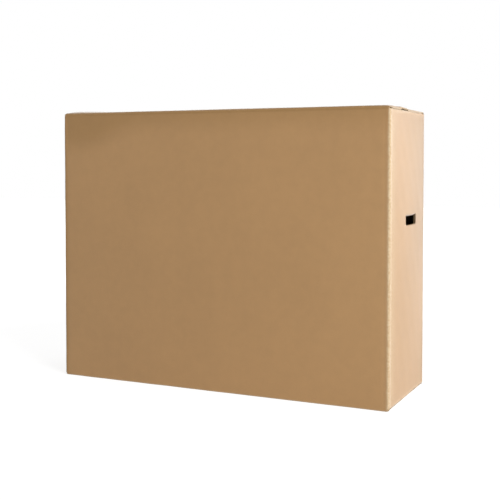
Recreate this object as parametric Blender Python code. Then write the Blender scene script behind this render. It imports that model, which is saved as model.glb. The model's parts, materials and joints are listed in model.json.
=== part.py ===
"""Long, tall slotted carton of double-wall corrugated board, standing closed.

The four walls are creased from one blank and closed along one corner by a stitched tab inside the
back wall. Four flaps close the bottom, where staples hold them, and four close the top, where they
only lie folded. Each end wall has a die-cut hand hole whose flap is pushed up into the box.

Metres, Z up. The origin is under the middle of the box, on the surface that it stands on. X runs
along the box, and the front wall faces -Y.
"""

import math

import bmesh
import bpy
import numpy as np
from mathutils import Matrix, Vector

# Outside of the closed carton, between the sharp lines that its folds would have
LENGTH = 1.350
WIDTH = 0.450
HEIGHT = 1.050

# The board and its folds
BOARD = 0.007
TOUCH_GAP = 0.0003
FOLD_STEPS = 2
CREASE_BAND = 0.004

# The layers of the board from its outer face inwards, and how far a cut shows between them
OUTER_LINER = 0.00045
OUTER_FLUTE = 0.00245
MIDDLE_LINER = 0.00035
INNER_LINER = 0.00045
CHANNEL_DEPTH = 0.003

# How far the walls bulge outwards at their middles, and how finely they are divided
END_BULGE = 0.012
SIDE_BULGE = 0.005
END_CELL = 0.065
SIDE_CELL = 0.120

# The flaps
CENTRE_SEAM = 0.003
LONG_FLAP_SETBACK = 0.002
SHORT_FLAP_SLOT = 0.004
BACK_WALL_SETBACK = 0.0015

# The hand holes, centred on each end wall
HOLE_WIDTH = 0.136
HOLE_HEIGHT = 0.039
HOLE_TOP = 0.670
HOLE_CORNER = 0.012
HOLE_CORNER_STEPS = 6
HOLE_CUT = 0.0012
HOLE_FLAP_ANGLE = math.radians(115)

# The tab inside the back wall, and the flat wire that stitches and staples are made of
TAB_WIDTH = 0.038
TAB_TAPER = 0.014
TAB_END_GAP = 0.003
WIRE_WIDTH = 0.0024
WIRE_THICKNESS = 0.0006
WIRE_RECESS = 0.0004
CROWN = 0.016
CLINCH = 0.005
STITCH_COUNT = 16
STITCH_END = 0.035
STITCH_ANGLE = math.radians(45)
STAPLES_PER_ROW = 2
STAPLE_END = 0.045
STAPLE_SEAM = 0.030
STAPLE_FOLD = 0.060
CUTTER_REACH = 0.002

# Colours (linear) of the brown liner and of the zinc-coated wire
KRAFT = (0.42, 0.25, 0.12, 1.0)
ZINC = (0.55, 0.55, 0.56, 1.0)

MITRE_GAP = TOUCH_GAP / math.sqrt(2)
FLAP_REACH = (WIDTH - CENTRE_SEAM) / 2
INNER_LEVEL = BOARD + TOUCH_GAP


def clear_scene():
    for obj in list(bpy.data.objects):
        bpy.data.objects.remove(obj, do_unlink=True)


def make_material(name, colour, roughness, metallic):
    material = bpy.data.materials.new(name)
    material.use_nodes = True
    shader = material.node_tree.nodes["Principled BSDF"]
    shader.inputs["Base Color"].default_value = colour
    shader.inputs["Roughness"].default_value = roughness
    shader.inputs["Metallic"].default_value = metallic
    return material


def add_object(name, mesh, colour=KRAFT, roughness=0.85, metallic=0.0):
    """A new object with its own material, shaded smooth across its shallow edges."""
    mesh.materials.append(make_material(name, colour, roughness, metallic))
    mesh.shade_smooth()
    mesh.set_sharp_from_angle(angle=math.radians(30))
    obj = bpy.data.objects.new(name, mesh)
    bpy.context.scene.collection.objects.link(obj)
    return obj


def move_origin(obj, point):
    """Puts the object's origin at a point, such as one on its fold, and leaves its shape and the
    cutters that hang on it where they are."""
    back = Matrix.Translation(-Vector(point))
    for thing in (obj, *obj.children):
        thing.data.transform(back)
    obj.location = point


def add_cutter(mesh):
    cutter = bpy.data.objects.new(mesh.name, mesh)
    cutter.hide_render = True
    cutter.display_type = "WIRE"
    bpy.context.scene.collection.objects.link(cutter)
    return cutter


def cut(obj, cutter):
    """Takes the cutter's volume out of the object."""
    modifier = obj.modifiers.new("Cut " + cutter.name, "BOOLEAN")
    modifier.operation = "DIFFERENCE"
    modifier.solver = "EXACT"
    modifier.object = cutter


def fold_columns(low, high, folds, cell):
    """Grid lines across a board from low to high: where they lie on its outer face, on its inner
    face, and how far the outer face has rounded away there. folds says which ends are folds.

    A fold's outer face turns on an arc of one board's thickness about the crease on the inner
    face, and its half of the arc ends on the 45 degree plane through that crease."""
    angles = np.linspace(0.0, math.pi / 4, FOLD_STEPS + 1)
    arc, drop = BOARD * np.sin(angles), BOARD * (1 - np.cos(angles))
    arc[-1] -= MITRE_GAP
    start, end = low + BOARD * folds[0], high - BOARD * folds[1]
    middle = np.linspace(start, end, max(1, round((end - start) / cell)) + 1)
    inner, drops = middle.copy(), np.zeros(len(middle))
    outer = middle
    step = CREASE_BAND * np.arange(FOLD_STEPS, -1, -1)
    if folds[1]:
        outer = np.append(outer, end + arc[1:])
        inner = np.append(inner[:-1], end - MITRE_GAP - step)
        drops = np.append(drops, drop[1:])
    if folds[0]:
        outer = np.append(start - arc[:0:-1], outer)
        inner = np.append(start + MITRE_GAP + step[::-1], inner[1:])
        drops = np.append(drop[:0:-1], drops)
    return outer, inner, drops, (start + end) / 2, (end - start) / 2


def board(name, origin, along, up, span_u, span_v, folds, channels="", bulge=0.0, cell=LENGTH,
          taper=0.0):
    """A flat piece of board. along and up span its outer face, whose normal is along x up, and
    span_u and span_v are its ends on them. folds says which of its ends (low u, high u, low v,
    high v) are folded, and the others are cut square. channels lists the cut ends, as -u, +u, -v
    or +v, that run along the flutes. bulge lifts its middle by the product of a parabola each
    way, and taper draws its cut low-u edge in at both ends."""
    outer_u, inner_u, drop_u, mid_u, half_u = fold_columns(*span_u, folds[:2], cell)
    outer_v, inner_v, drop_v, mid_v, half_v = fold_columns(*span_v, folds[2:], cell)

    def lift(u, v):
        across = np.clip(1 - ((u - mid_u) / half_u) ** 2, 0, None)
        return bulge * across * np.clip(1 - ((v - mid_v) / half_v) ** 2, 0, None)

    axes = np.array([along, up, np.cross(along, up)])

    def layer(u, v, sink):
        u, v = np.meshgrid(u, v, indexing="ij")
        w = lift(u, v) - sink
        v = mid_v + (v - mid_v) * (1 - taper / half_v * (span_u[1] - u) / (span_u[1] - span_u[0]))
        return (np.stack([u, v, w], axis=-1) @ axes + np.array(origin)).reshape(-1, 3)

    outside = layer(outer_u, outer_v, np.maximum.outer(drop_u, drop_v))
    inside = layer(inner_u, inner_v, BOARD)
    many_u, many_v = len(outer_u), len(outer_v)
    grid = np.arange(many_u * many_v).reshape(many_u, many_v)
    under = grid + grid.size

    def quads(a, b, c, d):
        return np.stack([a, b, c, d], axis=-1).reshape(-1, 4).tolist()

    faces = quads(grid[:-1, :-1], grid[1:, :-1], grid[1:, 1:], grid[:-1, 1:])
    faces += quads(under[:-1, :-1], under[:-1, 1:], under[1:, 1:], under[1:, :-1])
    faces += quads(grid[:-1, 0], under[:-1, 0], under[1:, 0], grid[1:, 0])
    faces += quads(grid[:-1, -1], grid[1:, -1], under[1:, -1], under[:-1, -1])
    faces += quads(grid[0, :-1], grid[0, 1:], under[0, 1:], under[0, :-1])
    faces += quads(grid[-1, :-1], under[-1, :-1], under[-1, 1:], grid[-1, 1:])
    mesh = bpy.data.meshes.new(name)
    mesh.from_pydata(np.vstack([outside, inside]).tolist(), [], faces)
    panel = add_object(name, mesh)
    if channels:
        spans = [(outer_u[0], outer_u[-1]), (outer_v[0], outer_v[-1])]
        creases = [(mid_u - half_u, mid_u + half_u), (mid_v - half_v, mid_v + half_v)]
        open_channels(panel, channels.split(), spans, creases, folds, Vector(origin), axes)
    return panel


def open_channels(panel, ends, spans, creases, folds, origin, axes):
    """Opens the two flute layers along cut ends that run with the flutes. Each channel goes out
    through a cut corner and stops at a crease."""
    second = OUTER_LINER + OUTER_FLUTE + MIDDLE_LINER
    layers = ((OUTER_LINER, OUTER_LINER + OUTER_FLUTE), (second, BOARD - INNER_LINER))
    reach = CHANNEL_DEPTH + CUTTER_REACH
    for end in ends:
        across, along = (0, 1) if "u" in end else (1, 0)
        side = -1 if "-" in end else 1
        low, high = (
            creases[along][k] if folds[2 * along + k] else spans[along][k] + sign * CUTTER_REACH
            for k, sign in ((0, -1), (1, 1))
        )
        outwards = Vector(axes[across]) * side
        edge = spans[across][0 if side < 0 else 1] * side
        middle = Vector(axes[along]) * (low + high) / 2
        start = origin + outwards * (edge - CHANNEL_DEPTH) + middle
        for layer, (top, bottom) in enumerate(layers, 1):
            outline = [(0, top), (reach, top), (reach, bottom), (0, bottom)]
            name = f"{panel.name}_channel{end}_{layer}"
            place = (start, outwards, -Vector(axes[2]))
            cutter = add_cutter(prism_mesh(name, outline, high - low, [place]))
            cutter.parent = panel
            cut(panel, cutter)


def prism_mesh(name, outline, thickness, places):
    """One closed prism at each place. An outline's points are (s, d), and a place is a corner
    point with the directions of s and d. The prism's thickness is centred across them."""
    mesh = bpy.data.meshes.new(name)
    shape = bmesh.new()
    for point, along_s, along_d in places:
        across = along_s.cross(along_d) * thickness
        low = [
            shape.verts.new(point + along_s * s + along_d * d - across / 2) for s, d in outline
        ]
        face = shape.faces.new(low)
        raised = bmesh.ops.extrude_face_region(shape, geom=[face], use_keep_orig=True)
        verts = [item for item in raised["geom"] if isinstance(item, bmesh.types.BMVert)]
        bmesh.ops.translate(shape, verts=verts, vec=across)
    bmesh.ops.recalc_face_normals(shape, faces=shape.faces)
    shape.to_mesh(mesh)
    shape.free()
    return mesh


def bulge_beside_hole():
    """How far an end wall stands out at the two ends of its hand hole's crease. Its facets are
    flat between their corners, so they lie inside the curve by up to the square of half a cell."""
    half_y, half_z = WIDTH / 2 - BOARD, HEIGHT / 2 - INNER_LEVEL - BOARD
    across = 1 - (HOLE_WIDTH / 2 / half_y) ** 2
    upward = 1 - ((HOLE_TOP - HEIGHT / 2) / half_z) ** 2
    sag = (END_CELL / 2 / half_y) ** 2 + (END_CELL / 2 / half_z) ** 2
    return END_BULGE * (across * upward - sag)


def make_walls():
    half_l, half_w = LENGTH / 2, WIDTH / 2
    end_heights = (INNER_LEVEL, HEIGHT - INNER_LEVEL)
    x, y, z = (1, 0, 0), (0, 1, 0), (0, 0, 1)
    minus_x, minus_y = (-1, 0, 0), (0, -1, 0)
    front = board(
        "front_panel", (0, -half_w, 0), x, z, (-half_l, half_l), (0, HEIGHT),
        (True, True, True, True), "", SIDE_BULGE, SIDE_CELL,
    )
    back = board(
        "back_panel", (0, half_w, 0), minus_x, z, (-half_l, half_l - BACK_WALL_SETBACK),
        (0, HEIGHT), (True, False, True, True), "+u", SIDE_BULGE, SIDE_CELL,
    )
    right = board(
        "right_end_panel", (half_l, 0, 0), y, z, (-half_w, half_w), end_heights,
        (True, True, True, True), "", END_BULGE, END_CELL,
    )
    left = board(
        "left_end_panel", (-half_l, 0, 0), minus_y, z, (INNER_LEVEL - half_w, half_w), end_heights,
        (True, True, True, True), "", END_BULGE, END_CELL,
    )
    tab_end = INNER_LEVEL + BOARD + TAB_END_GAP
    tab = board(
        "joint_tab", (0, half_w - INNER_LEVEL, 0), minus_x, z, (half_l - TAB_WIDTH, half_l),
        (tab_end, HEIGHT - tab_end), (False, True, False, False), "-u", taper=TAB_TAPER,
    )
    return front, back, right, left, tab


def make_flaps():
    """The four bottom flaps and the four top flaps. The long ones lie outside the short ones."""
    half_l, half_w = LENGTH / 2, WIDTH / 2
    ends = (LONG_FLAP_SETBACK - half_l, half_l - LONG_FLAP_SETBACK)
    side = half_w - BOARD - SHORT_FLAP_SLOT
    tab_side = side - INNER_LEVEL
    x, y, minus_y = (1, 0, 0), (0, 1, 0), (0, -1, 0)
    to_front, to_back = (-half_w, FLAP_REACH - half_w), (half_w - FLAP_REACH, half_w)
    to_left, to_right = (-half_l, FLAP_REACH - half_l), (half_l - FLAP_REACH, half_l)
    low_v, high_v = (False, False, True, False), (False, False, False, True)
    low_u, high_u = (True, False, False, False), (False, True, False, False)
    deep = INNER_LEVEL

    board("bottom_flap_front", (0, 0, 0), x, minus_y, ends, to_back, high_v, "-u +u")
    board("bottom_flap_back", (0, 0, 0), x, minus_y, ends, to_front, low_v, "-u +u")
    board("bottom_flap_left", (0, 0, deep), x, minus_y, to_left, (-tab_side, side), low_u, "-v +v")
    board("bottom_flap_right", (0, 0, deep), x, minus_y, to_right, (-side, side), high_u, "-v +v")

    top, under = HEIGHT, HEIGHT - deep
    front = board("top_flap_front", (0, 0, top), x, y, ends, to_front, low_v, "-u +u")
    back = board("top_flap_back", (0, 0, top), x, y, ends, to_back, high_v, "-u +u")
    left = board("top_flap_left", (0, 0, under), x, y, to_left, (-side, tab_side), low_u, "-v +v")
    right = board("top_flap_right", (0, 0, under), x, y, to_right, (-side, side), high_u, "-v +v")
    move_origin(front, (0, -half_w, top))
    move_origin(back, (0, half_w, top))
    move_origin(left, (BOARD - half_l, 0, under - BOARD))
    move_origin(right, (half_l - BOARD, 0, under - BOARD))


def hole_outline(inset):
    """The hand hole seen from outside: square above, where its flap folds, and round below. The
    inset draws in its sides and its lower edge. Points are (across, down) from the top's middle."""
    half, deep, radius = HOLE_WIDTH / 2 - inset, HOLE_HEIGHT - inset, HOLE_CORNER - inset
    turn = np.linspace(0, math.pi / 2, HOLE_CORNER_STEPS + 1)
    right = np.stack(
        [half - radius + radius * np.cos(turn), deep - radius + radius * np.sin(turn)], axis=1
    )
    left = right[::-1] * (-1, 1)
    return [(half, 0), *right.tolist(), *left.tolist(), (-half, 0)]


def make_hand_hole(panel, side):
    """Cuts the hole in an end wall and hangs its flap inside. side is 1 for +X and -1 for -X."""
    across, down = Vector((0, side, 0)), Vector((0, 0, -1))
    depth = 2 * (BOARD + END_BULGE)
    centre = Vector((side * LENGTH / 2, 0, HOLE_TOP))
    name = "right" if side > 0 else "left"
    mesh = prism_mesh("hand_hole_" + name, hole_outline(0), depth, [(centre, across, down)])
    cut(panel, add_cutter(mesh))

    # The crease is straight, so it lies where the bulging wall's inner face is furthest in
    crease_x = LENGTH / 2 - BOARD + bulge_beside_hole() - TOUCH_GAP
    middle = Vector((side * BOARD / 2, 0, 0))
    outline = [(s, max(0, d - TOUCH_GAP)) for s, d in hole_outline(HOLE_CUT)]
    mesh = prism_mesh("hand_hole_flap_" + name, outline, BOARD, [(middle, across, down)])
    flap = add_object(mesh.name, mesh)
    flap.location = (side * crease_x, 0, HOLE_TOP - TOUCH_GAP)
    flap.rotation_euler = (0, side * HOLE_FLAP_ANGLE, 0)


def staple_outline(depth):
    """A clinched staple seen from the side, with its crown at the top and its points turned in."""
    half, thick = CROWN / 2, WIRE_THICKNESS
    top, turn = WIRE_RECESS, depth + TOUCH_GAP
    right = [
        (half, top), (half, turn + thick), (half - CLINCH, turn + thick), (half - CLINCH, turn),
        (half - thick, turn), (half - thick, top + thick),
    ]
    return right + [(-s, d) for s, d in reversed(right)]


def pocket_outline(depth):
    """The room a staple takes up in the boards: a shallow slot for the crown and two for the legs."""
    half, thick = CROWN / 2 + TOUCH_GAP, WIRE_THICKNESS + 2 * TOUCH_GAP
    floor, end = WIRE_RECESS + WIRE_THICKNESS + TOUCH_GAP, depth + CUTTER_REACH
    right = [(half, -CUTTER_REACH), (half, end), (half - thick, end), (half - thick, floor)]
    return right + [(-s, d) for s, d in reversed(right)]


def fasten(name, places, boards):
    """Drives a row of staples through the two boards, crowns in the first one."""
    depth = 2 * BOARD + TOUCH_GAP
    for number, place in enumerate(places, 1):
        mesh = prism_mesh(f"{name}_{number:02d}", staple_outline(depth), WIRE_WIDTH, [place])
        add_object(mesh.name, mesh, ZINC, 0.35, 1.0)
    width = WIRE_WIDTH + 2 * TOUCH_GAP
    pockets = add_cutter(prism_mesh(name + "_pockets", pocket_outline(depth), width, places))
    for obj in boards:
        cut(obj, pockets)


def stitch_joint(back, tab):
    """A column of slanting stitches through the back wall and the tab behind it."""
    slant = Vector((math.cos(STITCH_ANGLE), 0, math.sin(STITCH_ANGLE)))
    x = (TAB_WIDTH - BOARD) / 2 + BOARD - LENGTH / 2
    low = INNER_LEVEL + BOARD + STITCH_END
    places = [
        (Vector((x, WIDTH / 2, z)), slant, Vector((0, -1, 0)))
        for z in np.linspace(low, HEIGHT - low, STITCH_COUNT)
    ]
    fasten("joint_stitch", places, (back, tab))


def staple_bottom():
    """Rows of staples through each long bottom flap and the short one above it."""
    boards = [bpy.data.objects["bottom_flap_" + side] for side in ("front", "back", "left", "right")]
    reach = np.linspace(STAPLE_END, FLAP_REACH - STAPLE_SEAM, STAPLES_PER_ROW)
    rows = (STAPLE_SEAM, WIDTH / 2 - STAPLE_FOLD)
    places = [
        (Vector((end * (LENGTH / 2 - far), side * row, 0)), Vector((1, 0, 0)), Vector((0, 0, 1)))
        for end in (-1, 1) for far in reach for side in (-1, 1) for row in rows
    ]
    fasten("bottom_staple", places, boards)


def main():
    clear_scene()
    front, back, right, left, tab = make_walls()
    make_flaps()
    make_hand_hole(right, 1)
    make_hand_hole(left, -1)
    stitch_joint(back, tab)
    staple_bottom()


main()
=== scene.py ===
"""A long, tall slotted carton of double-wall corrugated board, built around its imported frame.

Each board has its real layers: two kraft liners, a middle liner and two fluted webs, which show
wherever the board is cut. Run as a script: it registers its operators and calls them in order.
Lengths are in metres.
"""

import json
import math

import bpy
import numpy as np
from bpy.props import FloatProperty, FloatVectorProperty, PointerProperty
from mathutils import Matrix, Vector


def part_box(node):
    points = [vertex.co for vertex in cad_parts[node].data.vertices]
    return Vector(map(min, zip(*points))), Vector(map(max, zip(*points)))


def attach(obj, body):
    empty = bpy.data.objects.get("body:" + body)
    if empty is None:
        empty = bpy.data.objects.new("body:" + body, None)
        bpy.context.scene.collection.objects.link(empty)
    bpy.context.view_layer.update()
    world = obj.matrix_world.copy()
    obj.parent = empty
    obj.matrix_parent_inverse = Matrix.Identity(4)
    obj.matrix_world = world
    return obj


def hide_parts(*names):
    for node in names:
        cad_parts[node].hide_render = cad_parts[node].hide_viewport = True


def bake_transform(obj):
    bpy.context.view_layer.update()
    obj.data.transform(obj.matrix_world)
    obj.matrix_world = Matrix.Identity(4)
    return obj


bl_info = {
    "name": "Double-wall carton",
    "version": (1, 0, 0),
    "blender": (4, 5, 0),
    "location": "3D View > Sidebar > Carton",
    "description": "Builds a stitched, slotted carton of corrugated board with its stage",
    "category": "Object",
}

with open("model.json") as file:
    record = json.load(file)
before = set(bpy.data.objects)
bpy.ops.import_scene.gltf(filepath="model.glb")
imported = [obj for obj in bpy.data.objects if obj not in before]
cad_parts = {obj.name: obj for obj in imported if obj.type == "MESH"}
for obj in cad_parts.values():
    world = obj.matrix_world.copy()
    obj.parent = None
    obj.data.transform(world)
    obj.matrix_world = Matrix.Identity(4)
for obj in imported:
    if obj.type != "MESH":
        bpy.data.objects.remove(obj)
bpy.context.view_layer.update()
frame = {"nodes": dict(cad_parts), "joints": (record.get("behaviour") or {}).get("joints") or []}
JOINTS = {joint["name"]: joint for joint in frame["joints"]}

# The frame gives the outer size, the board's thickness and the creases. The two layers of
# flaps lie this gap apart.
TOUCH_GAP = 0.0003
END_CREASE = JOINTS["top_flap_right_fold"]["pos_m"]
HOLE_CREASE = JOINTS["hand_hole_right_fold"]["pos_m"]
HALF_WIDTH = -JOINTS["top_flap_front_fold"]["pos_m"][1]
HEIGHT = JOINTS["top_flap_front_fold"]["pos_m"][2]
BOARD = (HEIGHT - END_CREASE[2] - TOUCH_GAP) / 2
HALF_LENGTH = END_CREASE[0] + BOARD
INNER_LEVEL = BOARD + TOUCH_GAP
LONG_FLAP_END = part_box("top_flap_front")[1].x
TAB_EDGE = -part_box("joint_tab")[1].x
TAB_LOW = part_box("joint_tab")[0].z
BACK_WALL_EDGE = -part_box("back_panel")[0].x

# The hand holes, the tab's slanted ends, how far the slotting knife pressed a flap's sides other
# than a long flap's ends, and how far the walls stand out at their middles
HOLE_TOP = HOLE_CREASE[2] + TOUCH_GAP
HOLE_CUT = 0.0012
HOLE_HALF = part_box("hand_hole_flap_right")[1].y + HOLE_CUT
HOLE_HEIGHT = 0.039
HOLE_CORNER = 0.012
HOLE_FLAP_ANGLE = math.radians(115)
TAB_TAPER = 0.014
PRESSED = 0.0012
END_BULGE, SIDE_BULGE = 0.012, 0.005

# Folds: the length of straight board on each side of a bend, the height of the slots' foot, and
# the lengths round a quarter and an eighth of a turn about a crease
FOLD_REACH = 0.008
SLOT_FOOT = HEIGHT - 0.0085
QUARTER, EIGHTH = BOARD * math.pi / 2, BOARD * math.pi / 4

# Grids: the usual cell, the lines round an eighth of a turn, how near a corner's fold the grids
# beside it begin, and how far the core is set back behind a cut, at a fold's end and at a corner's
CELL = 0.012
ARC = np.linspace(0, EIGHTH, 7)
CORNER_GAP = 0.0004
MOUTH, FOLD_MOUTH, CORNER_MOUTH = 0.012, 0.006, 0.0035

OUTSIDE, INSIDE, CUT, MEDIUM = range(4)


def linear(hex_colour):
    """An sRGB colour such as "ab885f" as linear red, green, blue and full cover."""
    parts = [int(hex_colour[k : k + 2], 16) / 255 for k in (0, 2, 4)]
    return tuple(c / 12.92 if c <= 0.04045 else ((c + 0.055) / 1.055) ** 2.4 for c in parts) + (1.0,)


def length_property(name, text, size):
    return FloatProperty(name=name, description=text, default=size, unit="LENGTH", precision=5)


def colour_property(name, text, hex_colour):
    return FloatVectorProperty(
        name=name, description=text, default=linear(hex_colour), subtype="COLOR", size=4, min=0, max=1
    )


class CARTON_PG_board(bpy.types.PropertyGroup):
    """The layers of the board and the marks of its making"""

    liner: length_property("Liner", "Thickness of the outer and inner liners", 0.00045)
    middle: length_property("Middle liner", "Thickness of the middle liner", 0.00035)
    web: length_property("Web", "Thickness of the fluted webs", 0.00025)
    outer_flute: length_property("Outer flute", "Height of the outer flutes", 0.00245)
    outer_pitch: length_property("Outer pitch", "From one outer flute to the next", 0.0064)
    inner_pitch: length_property("Inner pitch", "From one inner flute to the next", 0.0080)
    furrow: length_property("Furrow", "Depth of the furrow that scoring leaves beside a fold", 0.00046)
    unevenness: length_property("Unevenness", "How far the walls stray from a smooth bulge", 0.0007)
    pressed: length_property("Pressed ends", "How far the slotting knife pressed the flaps' ends", 0.0048)
    wire_width: length_property("Wire width", "Width of the flat stitching wire", 0.0024)
    wire_thickness: length_property("Wire thickness", "Thickness of the flat wire", 0.0006)


class CARTON_PG_colours(bpy.types.PropertyGroup):
    """The colours of the papers, the wire and the floor"""

    outer: colour_property("Outer liner", "Kraft liner on the outside", "a37e52")
    inner: colour_property("Inner liner", "Kraft liner on the inside", "9f7f59")
    # The rubbed colour also paints highlights beside some folds and at the flaps' cut ends
    rubbed: colour_property("Rubbed", "Liner whose top fibres were rubbed off at a fold", "d0bf9f")
    cut: colour_property("Cut edge", "Cut edges of the liners", "dabf9c")
    fluting: colour_property("Fluting", "Fluted webs and middle liner", "b3956f")
    wire: colour_property("Wire", "Zinc-coated stitching wire", "c9c8c4")
    floor: colour_property("Floor", "Floor of the stage", "e7e7e7")


def smooth_step(x):
    x = np.clip(x, 0.0, 1.0)
    return x * x * (3 - 2 * x)


def positive(x):
    """x where it is above zero, and zero elsewhere."""
    return np.clip(x, 0, None)


def bell(x, width):
    """A bell curve: 1 at 0, and 0.37 at the width on both sides."""
    return np.exp(-((x / width) ** 2))


def fading(x, length):
    """1 up to x = 0, and from there on falling off, to 0.37 at the length."""
    return np.exp(-positive(x) / length)


def alike(*values):
    """The values as arrays of one shape."""
    return np.broadcast_arrays(*(np.asarray(value, float) for value in values))


def run(path):
    """The length along a path of points to each of them."""
    return np.append(0, np.cumsum(np.linalg.norm(np.diff(path, axis=0), axis=1)))


def spaced(path, count):
    """A path's line in count equal steps."""
    length = run(path)
    at = np.linspace(0, length[-1], count + 1)
    return np.stack([np.interp(at, length, path[:, k]) for k in range(2)], 1)


def ways(path):
    """The direction of a path at each of its points."""
    step = np.gradient(path, axis=0)
    return step / np.linalg.norm(step, axis=1)[:, None]


def to_sides(box, u, v):
    """The distances of a place from a box's sides: low u, high u, low v and high v."""
    low, high, v_low, v_high = box
    return u - low, high - u, v - v_low, v_high - v


def humps(box, u, v):
    """A parabola each way: 1 in the middle of a box, and 0 from its sides on."""
    low, high, v_low, v_high = box
    across, upward = (2 * u - low - high) / (high - low), (2 * v - v_low - v_high) / (v_high - v_low)
    return positive(1 - across**2), positive(1 - upward**2)


def ripple(a, b, seed, longest=0.55, count=5):
    """Slow unevenness between -1 and 1: the mean of sines of the two coordinates, each with its
    own direction, a shorter length than the last, and a phase that the seed picks."""
    total = np.zeros(np.broadcast(a, b).shape)
    for k in range(count):
        turn, phase = 2.4 * k + 1.7 * seed, 4.1 * k * k + 2.3 * seed
        length = longest * 0.62**k
        total = total + np.sin(2 * np.pi * (a * np.cos(turn) + b * np.sin(turn)) / length + phase)
    return total / count


def lines(low, high, cell=CELL, cut_low=False, cut_high=False):
    """Grid lines from low to high, a cell apart, and closer beside a cut side."""
    steps = np.array([0.0, 0.0006, 0.0013, 0.0022, 0.0034, 0.005, 0.008])
    start, end = low + CELL * cut_low, high - CELL * cut_high
    middle = np.linspace(start, end, max(1, round((end - start) / cell)) + 1)
    return np.concatenate([low + steps[: 7 * cut_low], middle, high - steps[: 7 * cut_high][::-1]])


def wall_lines(board):
    """Grid lines across a wall: closer at its furrows, and on round the eighth turn of each fold."""
    groove = np.linspace(0.003, 0.021, 7)
    plain = lines(board.low + 0.026, board.high - 0.026)
    parts = [board.low - ARC[::-1], board.low + groove, plain]
    if board.folded[1]:
        return np.concatenate([*parts, board.high - groove[::-1], board.high + ARC])
    return np.concatenate([*parts, lines(board.high - 0.014, board.high, CELL, False, True)])


def furrow(distance, depth):
    """The shallow furrow that scoring leaves 12 mm from a fold: a bell curve of the distance."""
    return -depth * bell(distance - 0.0120, 0.0062)


def squeezed(share):
    """How much of the outer face's sinking a layer at a share of the thickness takes part in."""
    return positive(1 - share) ** 1.2


class Board:
    """A board as a function of place on the sheet and depth: at(u, v, depth) gives points.

    u and v are lengths on the board's outer face, and depth runs from 0 there to the thickness.
    Past a folded side, u runs on round an arc of one thickness about the crease on the inner
    face, and the inner points draw together so that the last one is on the crease. Each point
    has six numbers: its place, its coordinates across and along the flutes of the flat sheet,
    and one that is above zero where the board is rubbed paler and where a painted highlight
    lies, and below zero where painted shade darkens it. sheet gives the start and the u and v
    shares of those coordinates."""

    def __init__(self, origin, along, up, low, high, sheet, folded=(0, 0), corners=(0, 0),
                 lift=None, crush=None, rub=None, spread=None):
        self.axes = np.array([along, up, np.cross(along, up)], float)
        self.origin = np.array(origin, float)
        self.low, self.high, self.sheet = low, high, sheet
        self.folded, self.corners = folded, corners
        nothing = lambda u, v: np.zeros(np.broadcast(u, v).shape)
        self.lift, self.crush, self.rub = lift or nothing, crush or nothing, rub or nothing
        self.spread = spread or (lambda u, v: v)

    def stray(self, u, v):
        """How far a vertical fold's round strays from its radius: two sines of the height, which
        two walls share at their corner, and which die out a little way into each wall."""
        high_half = u > (self.low + self.high) / 2
        corner = np.where(high_half, self.corners[1], self.corners[0])
        there = np.where(high_half, self.folded[1], self.folded[0])
        inside = positive(np.minimum(u - self.low, self.high - u))
        waves = 0.00016 * np.sin(2 * np.pi * v / 0.23 + corner)
        waves = waves + 0.0001 * np.sin(2 * np.pi * v / 0.071 + 2 * corner)
        return there * waves * bell(inside, 0.016)

    def at(self, u, v, depth):
        u, v, depth = alike(u, v, depth)
        share = depth / BOARD
        over = positive(u - self.high) * self.folded[1]
        under = positive(self.low - u) * self.folded[0]
        angle, side, radius = (over + under) / BOARD, np.sign(over - under), BOARD + self.stray(u, v)
        bent = np.clip(u, self.low, self.high) + side * radius * np.sin(angle)
        outer_u = np.where(angle > 0, bent, u)
        outer_w = radius * np.cos(angle) - BOARD
        past = positive(u - self.high + MOUTH) * self.folded[1]
        past = past - positive(self.low + MOUTH - u) * self.folded[0]
        inner_u = u - past * EIGHTH / (MOUTH + EIGHTH)
        w = outer_w * (1 - share) - BOARD * share + self.lift(np.clip(u, self.low, self.high), v)
        w = w - self.crush(u, v) * squeezed(share)
        local = np.stack([outer_u * (1 - share) + inner_u * share, self.spread(u, v), w], axis=-1)
        return self.points(local @ self.axes + self.origin, u, v, self.rub(u, v))

    def points(self, place, u, v, rub):
        (s, s_u, s_v), (t, t_u, t_v) = self.sheet
        sheet = np.stack([s + s_u * u + s_v * v, t + t_u * u + t_v * v, rub], axis=-1)
        return np.concatenate([place, sheet], axis=-1)


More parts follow.
